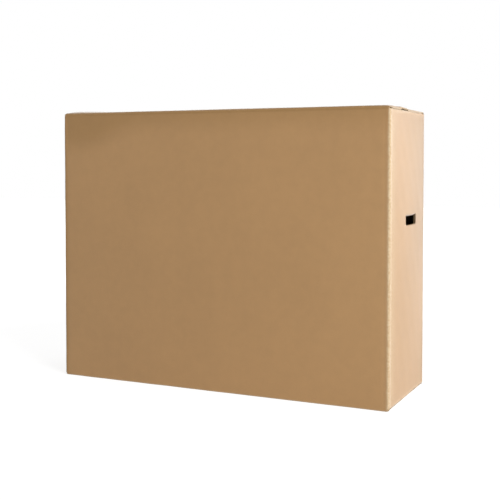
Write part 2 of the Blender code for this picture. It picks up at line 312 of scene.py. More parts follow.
class Fold:
    """The bent board between a wall and its flap: at(u, p, depth) gives points.

    p is the length over the outer face, from a little below the crease on the wall, round a
    quarter turn of one thickness about the crease, and a little way along the flap. The inner
    face goes straight to the crease and straight on. The flap's part is as wide as the flap."""

    def __init__(self, wall, crease, side, wall_ends, flap_ends, flap):
        self.wall, self.crease, self.side = wall, crease, side
        self.wall_ends, self.flap_ends, self.flap = wall_ends, flap_ends, flap

    def at(self, u, p, depth):
        u, p, depth = alike(u, p, depth)
        share = depth / BOARD
        angle = np.clip(p, 0, QUARTER) / BOARD
        bow = 0.0009 * np.sin(2 * angle) * (1 + 0.6 * ripple(u, 0 * u, 5 + self.side, 0.21, 4))
        outer_v = np.clip(p, None, 0) + (BOARD + bow) * np.sin(angle)
        outer_w = (BOARD + bow) * np.cos(angle) - BOARD - positive(p - QUARTER)
        q = (p + FOLD_REACH) * 2 * FOLD_REACH / (2 * FOLD_REACH + QUARTER) - FOLD_REACH
        v = outer_v * (1 - share) + np.clip(q, None, 0) * share
        w = outer_w * (1 - share) - (BOARD + positive(q)) * share
        over = p * (1 - share) + q * share
        on_flap = smooth_step(over / 0.003)
        ease = 0.03
        near_low = np.clip(1 - (u - self.wall_ends[0]) / ease, 0, 1)
        near_high = np.clip(1 - (self.wall_ends[1] - u) / ease, 0, 1)
        wider = near_low * (self.flap_ends[0] - self.wall_ends[0])
        wider = wider + near_high * (self.flap_ends[1] - self.wall_ends[1])
        flap_u, flap_v = self.flap.beside(u + wider)
        rise, extra = self.flap.spring(flap_u, -w)
        knife = self.flap.knife(flap_u, flap_v) * smooth_step(2 * angle / np.pi) * squeezed(share)
        v = v + on_flap * (rise + extra * squeezed(share)) - knife * np.sin(angle)
        w = w + self.wall.lift(u, self.crease + self.side * np.clip(over, None, 0)) - knife * np.cos(angle)
        local = np.stack([u + wider * on_flap, self.crease + self.side * v, w], axis=-1)
        place = local @ self.wall.axes + self.wall.origin
        # Paler round the bend, rubbed, on top of the wall's own marks, which carry painted highlight and
        # painted shade
        rub = self.wall.rub(u, self.crease + self.side * np.clip(p, None, 0)) + 0.35 * np.sin(2 * angle)
        return self.wall.points(place, u, self.crease + self.side * p, rub)


class Shells:
    """Closed shells gathered for one mesh: points, four-sided faces and each face's finish."""

    def __init__(self):
        self.points, self.faces, self.finishes, self.count = [], [], [], 0

    def add(self, points, groups):
        """points is (n, 6). groups are pairs of faces and a finish. The shell is turned right
        side out by the sign of its volume."""
        faces = np.concatenate([faces.reshape(-1, 4) for faces, _ in groups])
        finish = np.concatenate([np.full(faces.size // 4, kind) for faces, kind in groups])
        p = points[:, :3] - points[:, :3].mean(0)
        a, b, c, d = (p[faces[:, k]] for k in range(4))
        if (np.cross(a, b) * c).sum() + (np.cross(a, c) * d).sum() < 0:
            faces = faces[:, ::-1]
        self.points.append(points)
        self.faces.append(faces + self.count)
        self.finishes.append(finish)
        self.count += len(points)

    def piece(self, name, body, nodes, slot_name="kraft_board", materials=None):
        """Makes the object, gives it its body, and hides the nodes of the frame that it stands for. The
        slot name is not used.
        """
        materials = materials or board_materials()
        points, faces = np.concatenate(self.points), np.concatenate(self.faces)
        used, slots = np.unique(np.concatenate(self.finishes), return_inverse=True)
        mesh = bpy.data.meshes.new(name)
        mesh.vertices.add(len(points))
        mesh.vertices.foreach_set("co", points[:, :3].astype(np.float32).ravel())
        mesh.loops.add(faces.size)
        mesh.loops.foreach_set("vertex_index", faces.astype(np.int32).ravel())
        mesh.polygons.add(len(faces))
        mesh.polygons.foreach_set("loop_start", np.arange(0, faces.size, 4, dtype=np.int32))
        for kind in used:
            mesh.materials.append(materials[kind])
        mesh.polygons.foreach_set("material_index", slots.astype(np.int32))
        sheet = mesh.attributes.new("sheet", "FLOAT_VECTOR", "POINT")
        sheet.data.foreach_set("vector", points[:, 3:].astype(np.float32).ravel())
        mesh.update(calc_edges=True)
        mesh.validate()
        mesh.shade_smooth()
        mesh.set_sharp_from_angle(angle=math.radians(50))
        obj = bpy.data.objects.new(name, mesh)
        bpy.context.scene.collection.objects.link(obj)
        if body:
            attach(obj, body)
        if nodes:
            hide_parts(*nodes)
        return obj


def quads(grid):
    """The faces of a grid of point numbers."""
    return np.stack([grid[:-1, :-1], grid[1:, :-1], grid[1:, 1:], grid[:-1, 1:]], axis=-1)


def border(grid):
    """A grid's border, once round."""
    return np.concatenate([grid[:-1, 0], grid[-1, :-1], grid[:0:-1, -1], grid[0, :0:-1]])


def band(a, b):
    """The faces between two rings of the same length."""
    return np.stack([a, np.roll(a, -1), np.roll(b, -1), b], axis=-1)


def slab(shells, top, bottom, finish):
    """A closed shell between two grids of points: both grids and the band round them."""
    grid = np.arange(top[..., 0].size).reshape(top.shape[:2])
    groups = [
        (quads(grid), finish), (quads(grid + grid.size)[..., ::-1], finish),
        (band(border(grid + grid.size), border(grid)), finish),
    ]
    shells.add(np.concatenate([top.reshape(-1, 6), bottom.reshape(-1, 6)]), groups)


def cored(shells, board, places, faces, ring, edge, deep, rim=None):
    """A closed board. places (u, v) and faces make each of its two sheets. Along a ring of point
    numbers, whose places are edge, the liners end in cut edges, and between them the core is set
    back to the places deep. The two sheets join straight along the rim, where one is given."""
    liner = bpy.context.scene.carton_board.liner
    sheets = [board.at(*places, depth).reshape(-1, 6) for depth in (0, BOARD)]
    throat = ((edge, liner), (deep, liner), (deep, BOARD - liner), (edge, BOARD - liner))
    size, shift = len(sheets[0]), len(sheets[0]) + 4 * len(ring)
    steps = np.arange(size, shift).reshape(4, -1)
    groups = [
        (faces, OUTSIDE), (faces[..., ::-1] + shift, INSIDE),
        (band(steps[0], ring), CUT), (band(ring + shift, steps[3]), CUT),
        *((band(b, a), MEDIUM) for a, b in zip(steps, steps[1:])),
    ]
    if rim is not None:
        groups.append((band(rim + shift, rim), MEDIUM))
    rings = [board.at(*place, depth) for place, depth in throat]
    shells.add(np.concatenate([sheets[0], *rings, sheets[1]]), groups)


def webs(shells, board, flutes, middle_liner, phase_at):
    """The fluted webs and the middle liner, each on a grid of places (u, v) behind a cut. A web's
    depth is a sine of the coordinate across the flutes, between the liners on its two sides."""
    look = bpy.context.scene.carton_board
    middle = look.liner + look.outer_flute
    inner_top = middle + look.middle
    inner_flute = BOARD - look.liner - inner_top
    layers = (
        (look.liner + look.outer_flute / 2, look.outer_flute - look.web, look.outer_pitch, look.web),
        (inner_top + inner_flute / 2, inner_flute - look.web, look.inner_pitch, look.web),
        (middle + look.middle / 2, 0.0, 1.0, look.middle),
    )
    for (centre, swing, pitch, thickness), (u, v) in zip(layers, (flutes, flutes, middle_liner)):
        depth = centre + swing / 2 * np.sin(2 * np.pi * phase_at(u, v) / pitch)
        slab(shells, board.at(u, v, depth - thickness / 2), board.at(u, v, depth + thickness / 2), MEDIUM)


def mouths(shells, board, side, at, low, high, phase_at, across_flutes, mouth):
    """The webs behind a straight cut: side 0 is low u, 1 high u, 2 low v and 3 high v. The grid
    has about eight lines to a flute along a cut that goes across the flutes, and is fine inwards
    from one that goes along them. It begins a little behind the cut."""
    length, flute, behind = high - low, 0.0068, 0.0003
    fine, deep = (round(8 * length / flute), 2) if across_flutes else (round(length / CELL), 11)
    along, inward = np.meshgrid(
        np.linspace(low, high, max(fine, 2) + 1), np.linspace(behind, mouth, deep), indexing="ij"
    )
    inward = at + inward * (1 if side in (0, 2) else -1)
    u, v = (inward, along) if side < 2 else (along, inward)
    webs(shells, board, (u, v), (u, v), phase_at)


def board_shell(shells, board, us, vs, cut, slants=(0, 0), mouth=MOUTH, box=None, along_u=False):
    """A board on a grid. Along cut sides (low u, high u, low v, high v) its core is set back
    between the liners, and the webs show there. The box, if given, says how far they run beside
    each side. The flutes run along v, or along u, with one slant where a cut goes along them and
    one where it goes across them."""
    u, v = np.meshgrid(us, vs, indexing="ij")
    grid = np.arange(u.size).reshape(u.shape)

    def set_back(x, ends, cuts):
        low = mouth * np.clip(1 - (x - ends[0]) / (2 * mouth), 0, 1) * cuts[0]
        return x + low - mouth * np.clip(1 - (ends[-1] - x) / (2 * mouth), 0, 1) * cuts[1]

    edge = border(u), border(v)
    deep = set_back(edge[0], us, cut[:2]), set_back(edge[1], vs, cut[2:])
    cored(shells, board, (u, v), quads(grid), border(grid), edge, deep)
    sides = us[0], us[-1], vs[0], vs[-1]
    box = box or sides
    for side, at in enumerate(sides):
        if cut[side]:
            low, high = box[2:] if side < 2 else box[:2]
            across = (side < 2) == along_u
            slant = slants[across]
            phase_at = (lambda u, v: v + slant * u) if along_u else (lambda u, v: u + slant * v)
            mouths(shells, board, side, at, low, high, phase_at, across, mouth)


# Walls

def bulged(box, bulge, seed, folded):
    """How far a wall stands out: a parabola each way, slow ripples that die out at the folds,
    and the furrows beside them."""
    look = bpy.context.scene.carton_board

    def lift(u, v):
        across, upward = humps(box, u, v)
        edge = smooth_step(across * 4) * smooth_step(upward * 4)
        rise = bulge * across * upward + look.unevenness * edge * ripple(u, v, seed)
        depth = look.furrow * (0.8 + 0.35 * ripple(u, v, seed + 3, 0.35, 4))
        sides = zip(to_sides(box, u, v), (*folded, 1, 1))
        return rise + sum(there * furrow(distance, depth) for distance, there in sides)

    return lift


def pale_rub_and_highlight_near(box, most, reach=(0.005,) * 4):
    """How pale a board is beside its sides, rubbed and given a painted highlight, from most there falling
    off with the distance.
    """

    def rub(u, v):
        sides = zip(to_sides(box, u, v), most, reach)
        return np.maximum.reduce([top * fading(side, far) for side, top, far in sides])

    return rub


def wear_and_painted_light(box, long):
    """How a wall's face is marked. Above zero it is rubbed paler, with a painted highlight, beside
    the high u side of a long wall and beside an end wall's folds. Below zero painted shade darkens
    it: on a long wall along its top, in a band that is broader towards low u and darkest at the
    crease, and beside the fold at low u; on an end wall over its upper far part and beside its far fold."""
    near_folds = pale_rub_and_highlight_near(box, (1, 0, 0.4, 0.4), (0.022, 1, 0.005, 0.005))

    def paint_wear_and_light(u, v):
        from_low, from_high, _, from_top = to_sides(box, u, v)
        if long:
            # Painted shade along the top, darkest at the crease, and beside the low u fold
            broad = 0.100 + 0.080 * smooth_step((-0.30 - u) / 0.3)
            painted_shade = (0.82 - 0.25 * u) * smooth_step((broad - from_top) / 0.120)
            painted_shade = np.maximum(painted_shade, bell(positive(from_low), 0.009))
            painted_shade = np.maximum(painted_shade, 1.25 * bell(from_top, 0.0075))
            # Rubbed paler, with a painted highlight, beside the high u side
            rub = fading(from_high, 0.0028)
        else:
            # Painted shade over the upper far part and beside the far fold
            painted_shade = 0.8 * smooth_step((u + 0.12) / 0.30) * smooth_step((v - 0.35) / 0.3)
            painted_shade = painted_shade + 0.7 * bell(positive(from_high), 0.028)
            # Rubbed paler, with a painted highlight, beside the folds, most the one at low u
            rub = near_folds(u, v)
        return rub - painted_shade * (1 - rub)

    return paint_wear_and_light


def wall_board(name):
    """A wall's board and the heights of its flaps' creases. The walls' corner numbers give each
    fold its own stray. The sheet's coordinate runs on from wall to wall."""
    long, end = (BOARD, HEIGHT - BOARD), (INNER_LEVEL + BOARD, HEIGHT - INNER_LEVEL - BOARD)
    across = HALF_LENGTH + HALF_WIDTH - 2 * BOARD + 2 * EIGHTH
    origin, along, span, heights, folded, corners, start, bulge, seed = {
        "front": ((0, -HALF_WIDTH, 0), (1, 0, 0), (-HALF_LENGTH, HALF_LENGTH), long, (1, 1), (1, 2),
                  0.0, SIDE_BULGE, 1),
        "right": ((HALF_LENGTH, 0, 0), (0, 1, 0), (-HALF_WIDTH, HALF_WIDTH), end, (1, 1), (2, 3),
                  across, END_BULGE, 2),
        "back": ((0, HALF_WIDTH, 0), (-1, 0, 0), (-HALF_LENGTH, BACK_WALL_EDGE), long, (1, 0), (3, 0),
                 2 * across, SIDE_BULGE, 3),
        "left": ((-HALF_LENGTH, 0, 0), (0, -1, 0), (INNER_LEVEL - HALF_WIDTH, HALF_WIDTH), end, (1, 1),
                 (4, 1), -across, END_BULGE, 4),
    }[name]
    low, high = span[0] + BOARD * folded[0], span[1] - BOARD * folded[1]
    box = (low, high, *heights)
    pressed = None if folded[1] else lambda u, v: 0.0008 * bell(high - u, 0.002)
    return Board(
        origin, along, (0, 0, 1), low, high, ((start, 1, 0), (0, 0, 1)), folded, corners,
        bulged(box, bulge, seed, folded), pressed, wear_and_painted_light(box, heights is long),
    ), heights


def fold_ends(shells, board, start, end):
    """The ends of a wall's vertical folds beside its flap folds, up or down to the slots."""
    low_arc = np.append(board.low - ARC[::-1], board.low + CORNER_GAP)
    arcs = (low_arc, np.append(board.high - CORNER_GAP, board.high + ARC))
    ends = (((0, 0, 0, 1), end, SLOT_FOOT), ((0, 0, 1, 0), HEIGHT - SLOT_FOOT, start))
    for cut, low, high in ends:
        for there, us in zip(board.folded, arcs):
            if there:
                board_shell(shells, board, us, np.linspace(low, high, 4), cut, mouth=CORNER_MOUTH)


def long_wall(name):
    """A long wall between its flap folds. The back one ends in a cut edge over the tab."""
    board, (v_low, v_high) = wall_board(name)
    start, end = v_low + FOLD_REACH, v_high - FOLD_REACH
    shells = Shells()
    free = 1 - board.folded[1]
    board_shell(shells, board, wall_lines(board), lines(start, end), (0, free, 0, 0), (0.012, 0))
    fold_ends(shells, board, start, end)
    shells.piece(name + "_wall", "carton", [name + "_panel"])


def hole_outline(across_count, down_count):
    """The hand hole's outline in (across, down) from the top's middle: its left side downwards,
    its foot with the round corners, its right side upwards and its top back to the left. The
    sides end halfway round the corners, so that each part faces its own side of a square."""
    half, deep, radius = HOLE_HALF, HOLE_HEIGHT, HOLE_CORNER
    q = np.linspace(0, 1, 400)

    def corner(turn):
        return np.stack([half - radius + radius * np.cos(turn), deep - radius + radius * np.sin(turn)], 1)

    straight = np.stack([half + 0 * q, q * (deep - radius)], 1)
    right = spaced(np.concatenate([straight, corner(q * np.pi / 4)[1:]]), down_count)
    foot = np.stack([(1 - q) * (half - radius), deep + 0 * q], 1)
    foot = np.concatenate([corner(np.pi / 4 + q * np.pi / 4), foot[1:]])
    foot = spaced(np.concatenate([foot, (foot * (-1, 1))[-2::-1]]), across_count)
    top = np.stack([np.linspace(half, -half, across_count + 1), np.zeros(across_count + 1)], 1)
    return right * (-1, 1), foot[::-1], right[::-1], top


def end_wall(name):
    """An end wall. The cells round its hand hole are left out of the grid, and a collar of rings
    joins their border to the hole's outline, where the core is set back between the liners."""
    board, (v_low, v_high) = wall_board(name)
    start, end = v_low + FOLD_REACH, v_high - FOLD_REACH
    margin, gap = 0.022, 0.003
    block_u = np.linspace(-HOLE_HALF - margin, HOLE_HALF + margin, 45)
    block_v = np.linspace(HOLE_TOP - HOLE_HEIGHT - margin, HOLE_TOP + margin, 21)
    us = wall_lines(board)
    us = np.concatenate([us[us < block_u[0] - gap], block_u, us[us > block_u[-1] + gap]])
    vs = np.concatenate([lines(start, block_v[0])[:-1], block_v, lines(block_v[-1], end)[1:]])
    u, v = np.meshgrid(us, vs, indexing="ij")
    grid = np.arange(u.size).reshape(u.shape)
    i0, j0 = np.argmin(abs(us - block_u[0])), np.argmin(abs(vs - block_v[0]))
    i1, j1 = i0 + len(block_u) - 1, j0 + len(block_v) - 1
    faces = quads(grid)
    kept = np.ones(faces.shape[:2], bool)
    kept[i0:i1, j0:j1] = False
    faces = faces[kept]

    # The block's border and the hole's outline go round alike: down, along the foot, up and back
    block = np.concatenate([grid[i0, j1:j0:-1], grid[i0:i1, j0], grid[i1, j0:j1], grid[i1:i0:-1, j1]])
    outline = np.concatenate([part[:-1] for part in hole_outline(i1 - i0, j1 - j0)])
    hole_u, hole_v = outline[:, 0], HOLE_TOP - outline[:, 1]

    def between(share):
        """Places from the hole's outline, at 0, to the block's border, at 1."""
        return hole_u + share * (u.ravel()[block] - hole_u), hole_v + share * (v.ravel()[block] - hole_v)

    shares = np.array([0.0, 0.03, 0.08, 0.16, 0.3, 0.5, 0.75])[:, None]
    rings = u.size + np.arange(len(shares) * len(block)).reshape(-1, len(block))
    collar = [band(b, a) for a, b in zip(rings, [*rings[1:], block])]
    places = [np.append(a, b) for a, b in zip((u, v), between(shares))]
    # The hole's ring goes round the other way than a rim would, and its core is set back by not
    # quite half the collar
    edge, deep = ([x[::-1] for x in between(share)] for share in (0, 0.45))
    shells = Shells()
    cored(shells, board, places, np.concatenate([faces, *collar]), rings[0][::-1], edge, deep, border(grid))

    # The webs behind the hole's sides and foot, which the die crushed further back than the
    # middle liner
    per_metre, nearest_web, nearest_liner, deepest = 1500, 0.006, 0.0008, 0.009
    outline = np.concatenate([part[:-1] for part in hole_outline(400, 200)[:3]])
    path = spaced(outline, round(per_metre * run(outline)[-1]) - 1)
    way = ways(path)
    grids = []
    for nearest in (nearest_web, nearest_liner):
        inward = np.linspace(nearest, deepest, 5)
        grids.append((path[:, :1] - way[:, 1:] * inward, HOLE_TOP - path[:, 1:] - way[:, :1] * inward))
    webs(shells, board, *grids, lambda u, v: u + 0.01 * v)
    fold_ends(shells, board, start, end)
    shells.piece(name + "_end_wall", "carton", [name + "_end_panel"])


def stitched_tab():
    """The tab inside the back wall. Its ends taper, and its fold is the left wall's far one."""
    low, high, mid = TAB_EDGE, HALF_LENGTH - BOARD, HEIGHT / 2
    box = (low, high, TAB_LOW, HEIGHT - TAB_LOW)
    slope = TAB_TAPER / (mid - TAB_LOW) / (HALF_LENGTH - low)
    board = Board(
        (0, HALF_WIDTH - INNER_LEVEL, 0), (-1, 0, 0), (0, 0, 1), low, high,
        ((0, 1, 0), (0, 0, 1)), (0, 1), (0, 4), None, None, pale_rub_and_highlight_near(box, (1, 0, 1, 1)),
        lambda u, v: mid + (v - mid) * (1 - slope * (HALF_LENGTH - u)),
    )
    shells = Shells()
    us = np.concatenate([lines(low, high, 0.006, True)[:-1], high + ARC])
    vs = lines(*box[2:], CELL, True, True)
    board_shell(shells, board, us, vs, (1, 0, 1, 1), (0.009, 0), box=box)
    shells.piece("stitched_tab", "carton", ["joint_tab"])


# Flaps and their folds

def sprung(where, x, d):
    """How far a long top flap stands up, at a length x along its fold and a distance d from it,
    because its fold springs back: (rise of the inner face, extra rise of the outer one). The
    front one rises from a fold that stayed round, bows, and falls again towards its free edge,
    more so to the left. Its right end is held down, and least so beside the seam. It rises
    less than its fold's 15 degrees from the wall, so that it still folds down all the way."""
    uneven = 1 + 0.15 * ripple(x, 0 * x, 9, 0.4, 4)
    if where == "front":
        left = smooth_step((-0.48 - x) / 0.16)
        most = (0.0088 - 0.0016 * smooth_step((x - 0.05) / 0.4) + 0.0080 * left) * uneven
        slope = 0.15 + 0.04 * left
        bow = most * np.tanh(slope * d / most) * (1 - 0.45 * smooth_step((d - 0.09) / 0.12))
        bow = bow + (0.0020 + 0.0008 * left) * (1 - np.exp(-d / 0.004)) * np.exp(-d / 0.018)
        held = np.where(x > 0, 0.92 - 0.80 * smooth_step((d - 0.120) / 0.03), 0.0)
    else:
        bow, held = 0.0026 * smooth_step(d / 0.12) * uneven, 0.95
    bow = bow * (1 - held * bell(LONG_FLAP_END - abs(x), 0.014))
    extra = bow * fading(d - BOARD, 0.008)
    return bow - extra, extra


class Flap:
    """A flap in its own frame: u runs along +X, and v along +Y on top and -Y below. Its flutes
    run away from its fold, which ends at fold_end."""

    def __init__(self, word, where):
        look = bpy.context.scene.carton_board
        self.node, self.name, self.where = f"{word}_flap_{where}", f"{word}_{where}_flap", where
        self.turn, self.long = 1 if word == "top" else -1, where in ("front", "back")
        self.side = 1 if where in ("back", "right") else -1
        low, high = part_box(self.node)
        wall, (v_low, v_high) = wall_board(where)
        side, turn, start = self.side, self.turn, wall.sheet[0][0]
        if self.long:
            self.fold_end = side * turn * (HALF_WIDTH - BOARD - FOLD_REACH)
            free = turn * (high.y if side < 0 else low.y)
            away = 1 if free > self.fold_end else -1
            span, heights = (-LONG_FLAP_END, LONG_FLAP_END), sorted((self.fold_end, free))
            self.cut = (1, 1, 0, 1) if away > 0 else (1, 1, 1, 0)
            edge = v_high + QUARTER + FOLD_REACH if turn > 0 else v_low - QUARTER - FOLD_REACH
            self.sheet = ((start, -side, 0), (edge - away * turn * self.fold_end, 0, away * turn))
            self.level, self.settled = (HEIGHT, -0.0001) if turn > 0 else (0.0, -0.0004)
            self.pressed = [look.pressed, look.pressed, PRESSED, PRESSED]
            if self.node == "top_flap_front":
                # The knife left this end's flutes open beside the seam
                self.pressed[1] = lambda y: look.pressed - 0.0016 * smooth_step((y + 0.110) / 0.03)
        else:
            self.fold_end = side * (HALF_LENGTH - BOARD - FOLD_REACH)
            free = low.x if side > 0 else high.x
            span, heights = sorted((self.fold_end, free)), sorted((turn * low.y, turn * high.y))
            self.cut = (0, 1, 1, 1) if side < 0 else (1, 0, 1, 1)
            self.sheet = ((start, 0, side * turn), (turn * (HEIGHT + HALF_LENGTH), -side * turn, 0))
            self.level, self.settled = HEIGHT - INNER_LEVEL if turn > 0 else INNER_LEVEL, 0.0
            self.pressed = [PRESSED] * 4
        self.box = (*span, *heights)
        self.seed = (7 if self.long else 11) + side + 3 * turn

    def beside(self, along):
        """A place along the wall's fold, as (u, v)."""
        if self.long:
            return -self.side * along, self.fold_end + 0 * along
        return self.fold_end + 0 * along, self.turn * self.side * along

    def knife(self, u, v):
        """How far the slotting knife pressed the outer liner down beside a cut: a bell curve of
        the distance, whose depth varies along the cut."""
        total = np.zeros(np.broadcast(u, v).shape)
        least, most, width = 0.0002, 0.0054, 0.0040
        for side, (distance, along) in enumerate(zip(to_sides(self.box, u, v), (v, v, u, u))):
            if self.cut[side]:
                mean = self.pressed[side]
                mean = mean(along) if callable(mean) else mean
                depth = mean * (1 + 0.25 * ripple(along, 0 * along, self.seed + side, 0.19, 4))
                total = np.maximum(total, np.clip(depth, least, most) * bell(positive(distance), width))
        return total

    def spring(self, u, d):
        return sprung(self.where, u, d) if self.long and self.turn > 0 else (0 * u, 0 * u)

    def crush(self, u, v):
        return self.knife(u, v) - self.spring(u, HALF_WIDTH - abs(v))[1]

    def lift(self, u, v):
        """Slow ripples, the spring, and for a long flap ends that bend down over the rounds of
        the end walls' folds."""
        across, upward = humps(self.box, u, v)
        unevenness = bpy.context.scene.carton_board.unevenness
        slow = smooth_step(3 * across) * smooth_step(3 * upward)
        slow = slow * (0.7 * unevenness * ripple(u, v, self.seed) + self.settled)
        if not self.long:
            return slow
        past = np.clip(abs(u) - (HALF_LENGTH - BOARD), 0, BOARD)
        fall = (BOARD - np.sqrt(BOARD**2 - past**2)) * smooth_step(abs(v - self.fold_end) / 0.015)
        return slow - fall + self.spring(u, HALF_WIDTH - abs(v))[0]

    def build(self):
        low, high, v_low, v_high = self.box
        # Paler beside its cut edges: rubbed, with a painted highlight
        board = Board(
            (0, 0, self.level), (1, 0, 0), (0, self.turn, 0), low, high, self.sheet, (0, 0), (0, 0),
            self.lift, self.crush, pale_rub_and_highlight_near(self.box, self.cut),
        )
        us, vs = lines(low, high, CELL, *self.cut[:2]), lines(v_low, v_high, CELL, *self.cut[2:])
        shells = Shells()
        board_shell(shells, board, us, vs, self.cut, (0.018, 0.018), along_u=not self.long)
        body = self.node if self.turn > 0 else "carton"
        shells.piece(self.name, body, [self.node])


def flap_folds():
    """The folds between the walls and their flaps. Those below go with the carton's body. For those on
    top, which are given no body, a point on the inner face below the crease and one on the flap beyond it
    are worked out but not used."""
    over = np.concatenate([
        np.linspace(-FOLD_REACH, 0, 6)[:-1], np.linspace(0, QUARTER, 13),
        np.linspace(QUARTER, QUARTER + FOLD_REACH, 4)[1:],
    ])
    for where in ("front", "right", "back", "left"):
        wall, creases = wall_board(where)
        ends = [wall.low + CORNER_GAP * wall.folded[0], wall.high - CORNER_GAP * wall.folded[1]]
        for word, crease, side in (("top", creases[1], 1), ("bottom", creases[0], -1)):
            low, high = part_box(f"{word}_flap_{where}")
            flap_ends = (low.x, high.x) if where in ("front", "back") else (low.y, high.y)
            if where in ("back", "left"):
                flap_ends = (-flap_ends[1], -flap_ends[0])
            fold = Fold(wall, crease, side, ends, flap_ends, Flap(word, where))
            shells = Shells()
            us = lines(*ends, CELL, True, True)
            board_shell(shells, fold, us, over, (1, 1, 0, 0), (0.05, 0), FOLD_MOUTH)
            piece = shells.piece(f"{word}_{where}_fold", None if side > 0 else "carton", [])
            if side > 0:
                start, end = (fold.at(0.0, at, BOARD)[:3] for at in (over[0], over[-1]))
                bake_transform(piece)


# Hand holes

def hole_flap(side, where):
    """The flap that the die left in a hand hole: a board whose width narrows round its corners."""
    half, deep, radius = HOLE_HALF - HOLE_CUT, HOLE_HEIGHT - HOLE_CUT, HOLE_CORNER - HOLE_CUT
    cos, sin = math.cos(HOLE_FLAP_ANGLE), math.sin(HOLE_FLAP_ANGLE)
    down, across = np.array([-side * sin, 0, -cos]), np.array([0, side, 0])
    out = np.cross(across, -down)
    crease = np.array([side * HOLE_CREASE[0], 0, HOLE_CREASE[2]])
    board = Board(crease + out * BOARD, across, -down, -half, half, ((0, 1, 0), (0, 0, 1)))
    plain = board.at

    def at(u, v, depth):
        """The board with v downwards from its crease, rubbed beside its cut edges."""
        u, v, depth = alike(u, v, depth)
        past = np.clip(v - (deep - radius), 0, radius)
        narrowed = u * (1 - (radius - np.sqrt(radius**2 - past**2)) / half)
        points = plain(narrowed, -v, depth)
        points[..., 5] = 0.8 * fading(abs(np.minimum(half - abs(u), deep - v)), 0.004)
        return points

    board.at = at
    corner = deep - radius + radius * np.sin(np.linspace(0, np.pi / 2, 9))
    us = lines(-half, half, 0.006, True, True)
    vs = np.concatenate([np.linspace(TOUCH_GAP, deep - radius, 6)[:-1], corner])
    box = (-half, half, TOUCH_GAP, deep - radius)
    shells = Shells()
    board_shell(shells, board, us, vs, (1, 1, 0, 1), (0.02, 0), box=box)
    body = "hand_hole_flap_" + where
    shells.piece(f"hand_hole_{where}_flap", body, [body])
    return crease + out * BOARD


def hole_crease(side, where, end):
    """The board that bends at a hand hole's crease: a sector about the crease, from the wall's
    outer face to the flap's, pinched between them where scoring thinned the board."""
    wall, _ = wall_board(where)
    half = HOLE_HALF - HOLE_CUT
    pinch, core = 0.0044, 0.0004
    y, share = np.meshgrid(np.linspace(-half, half, 31), np.linspace(0, 1, 15), indexing="ij")
    turn = share * HOLE_FLAP_ANGLE
    edge = wall.at(side * y[:, :1], HOLE_TOP, 0.0)[..., 0] * side - HOLE_CREASE[0]
    reach = edge * (1 - share) + BOARD * share - pinch * np.sin(np.pi * share) ** 0.7
    grids = []
    for radius in (reach, core + 0 * reach):
        x, z = side * (HOLE_CREASE[0] + radius * np.cos(turn)), HOLE_CREASE[2] - radius * np.sin(turn)
        grids.append(np.stack([x, y, z, y, -turn * BOARD, 0.5 * np.sin(np.pi * share)], -1))
    shells = Shells()
    slab(shells, *grids, OUTSIDE)
    piece = shells.piece(f"hand_hole_{where}_crease", None, [])
    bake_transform(piece)


# Wire

def wire_loops(name, nodes, along, across, inwards, level, finish):
    """Flat wire driven through two boards and clinched behind: a rounded flat section carried
    along a path that goes across the slightly arched crown, down both legs, and in along the
    back of the inner board, where the wire's tips bite into it."""
    look = bpy.context.scene.carton_board
    half, bend, clinch, thick = 0.0080, 0.0011, 0.0050, look.wire_thickness
    arch, bite, behind = 0.0001, 0.0004, 0.0003
    foot = 2 * BOARD + 2 * TOUCH_GAP + behind
    turn = np.linspace(0, np.pi / 2, 6)
    centre = half - thick / 2 - bend
    shoulder = np.stack([centre + bend * np.sin(turn), arch + bend - bend * np.cos(turn)], 1)
    heel = np.stack([centre + bend * np.cos(turn), foot - bend + bend * np.sin(turn)], 1)
    right = np.concatenate([[[0, 0]], shoulder, heel, [[half - clinch, foot - bite]]])
    path = np.concatenate([(right * (-1, 1))[:0:-1], right])
    step = ways(path)
    round_section = np.linspace(0, 2 * np.pi, 12, endpoint=False)
    flat = np.stack([np.cos(round_section), np.sin(round_section)], 1)
    flat = np.sign(flat) * np.abs(flat) ** 0.5 * (look.wire_width / 2, thick / 2)
    along, across, down = (np.array(v, float) for v in (along, across, inwards))
    push = step[:, 1:] * along - step[:, :1] * down
    count = len(flat)
    grid = np.arange(len(path) * count).reshape(-1, count)
    caps = np.array([
        [row[k], row[k + 1], row[-2 - k], row[-1 - k]]
        for row in (grid[0, ::-1], grid[-1]) for k in range(count // 2 - 1)
    ])
    shells = Shells()
    for node in nodes:
        low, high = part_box(node)
        middle = np.array((low + high) / 2)
        crown = middle - down * (middle @ down) + down * level
        line = crown + path[:, :1] * along + path[:, 1:] * down
        ring = line[:, None] + flat[:, :1] * across + flat[:, 1:] * push[:, None]
        points = np.concatenate([ring.reshape(-1, 3), np.zeros((grid.size, 3))], axis=1)
        shells.add(points, [(quads(np.hstack([grid, grid[:, :1]])), 0), (caps, 0)])
    shells.piece(name, "carton", nodes, "staple_wire", [finish])


# Finishes

def add(tree, kind, inputs=None, **settings):
    """Adds a node with its settings, and sets or links its inputs, named or numbered. A value
    that is a socket is linked."""
    node = tree.nodes.new("ShaderNode" + kind)
    for key, value in settings.items():
        setattr(node, key, value)
    for key, value in (inputs or {}).items():
        if isinstance(value, bpy.types.NodeSocket):
            tree.links.new(value, node.inputs[key])
        else:
            node.inputs[key].default_value = value
    return node


def math_node(tree, operation, *values):
    return add(tree, "Math", dict(enumerate(values)), operation=operation).outputs[0]


def ramp(tree, value, low, high, to_low=0.0, to_high=1.0):
    """A value brought from one range to another, held at its ends."""
    return add(tree, "MapRange", {0: value, 1: low, 2: high, 3: to_low, 4: to_high}).outputs[0]


def mixed(tree, share, a, b, blend="MIX"):
    """Two colours mixed by a share."""
    return add(tree, "Mix", {0: share, 6: a, 7: b}, data_type="RGBA", blend_type=blend).outputs[2]


